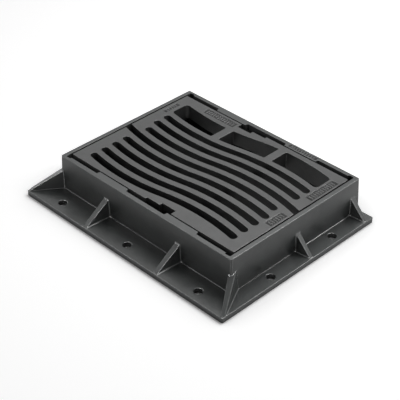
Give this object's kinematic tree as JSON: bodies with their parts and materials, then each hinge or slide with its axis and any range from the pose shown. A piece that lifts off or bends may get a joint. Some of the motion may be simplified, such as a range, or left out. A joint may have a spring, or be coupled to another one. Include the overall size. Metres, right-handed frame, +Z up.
{
  "type": "drain grate",
  "caption": "Cast iron road gully grate with curved slots and wide kerb-side inlets, resting in a frame with a bolt-down flange and gussets on three sides.",
  "frame": {"origin": "middle of the footprint of the whole part, on the ground", "axes": "+X along the long side of the grate, +Y towards the kerb side that has no flange, +Z up"},
  "size_m": [0.641, 0.4946, 0.1],
  "materials": {
    "painted_iron": "satin",
    "worn_iron": "satin"
  },
  "bodies": {
    "root": {"frame": "painted_iron", "grate": "worn_iron"}
  },
  "joints": []
}
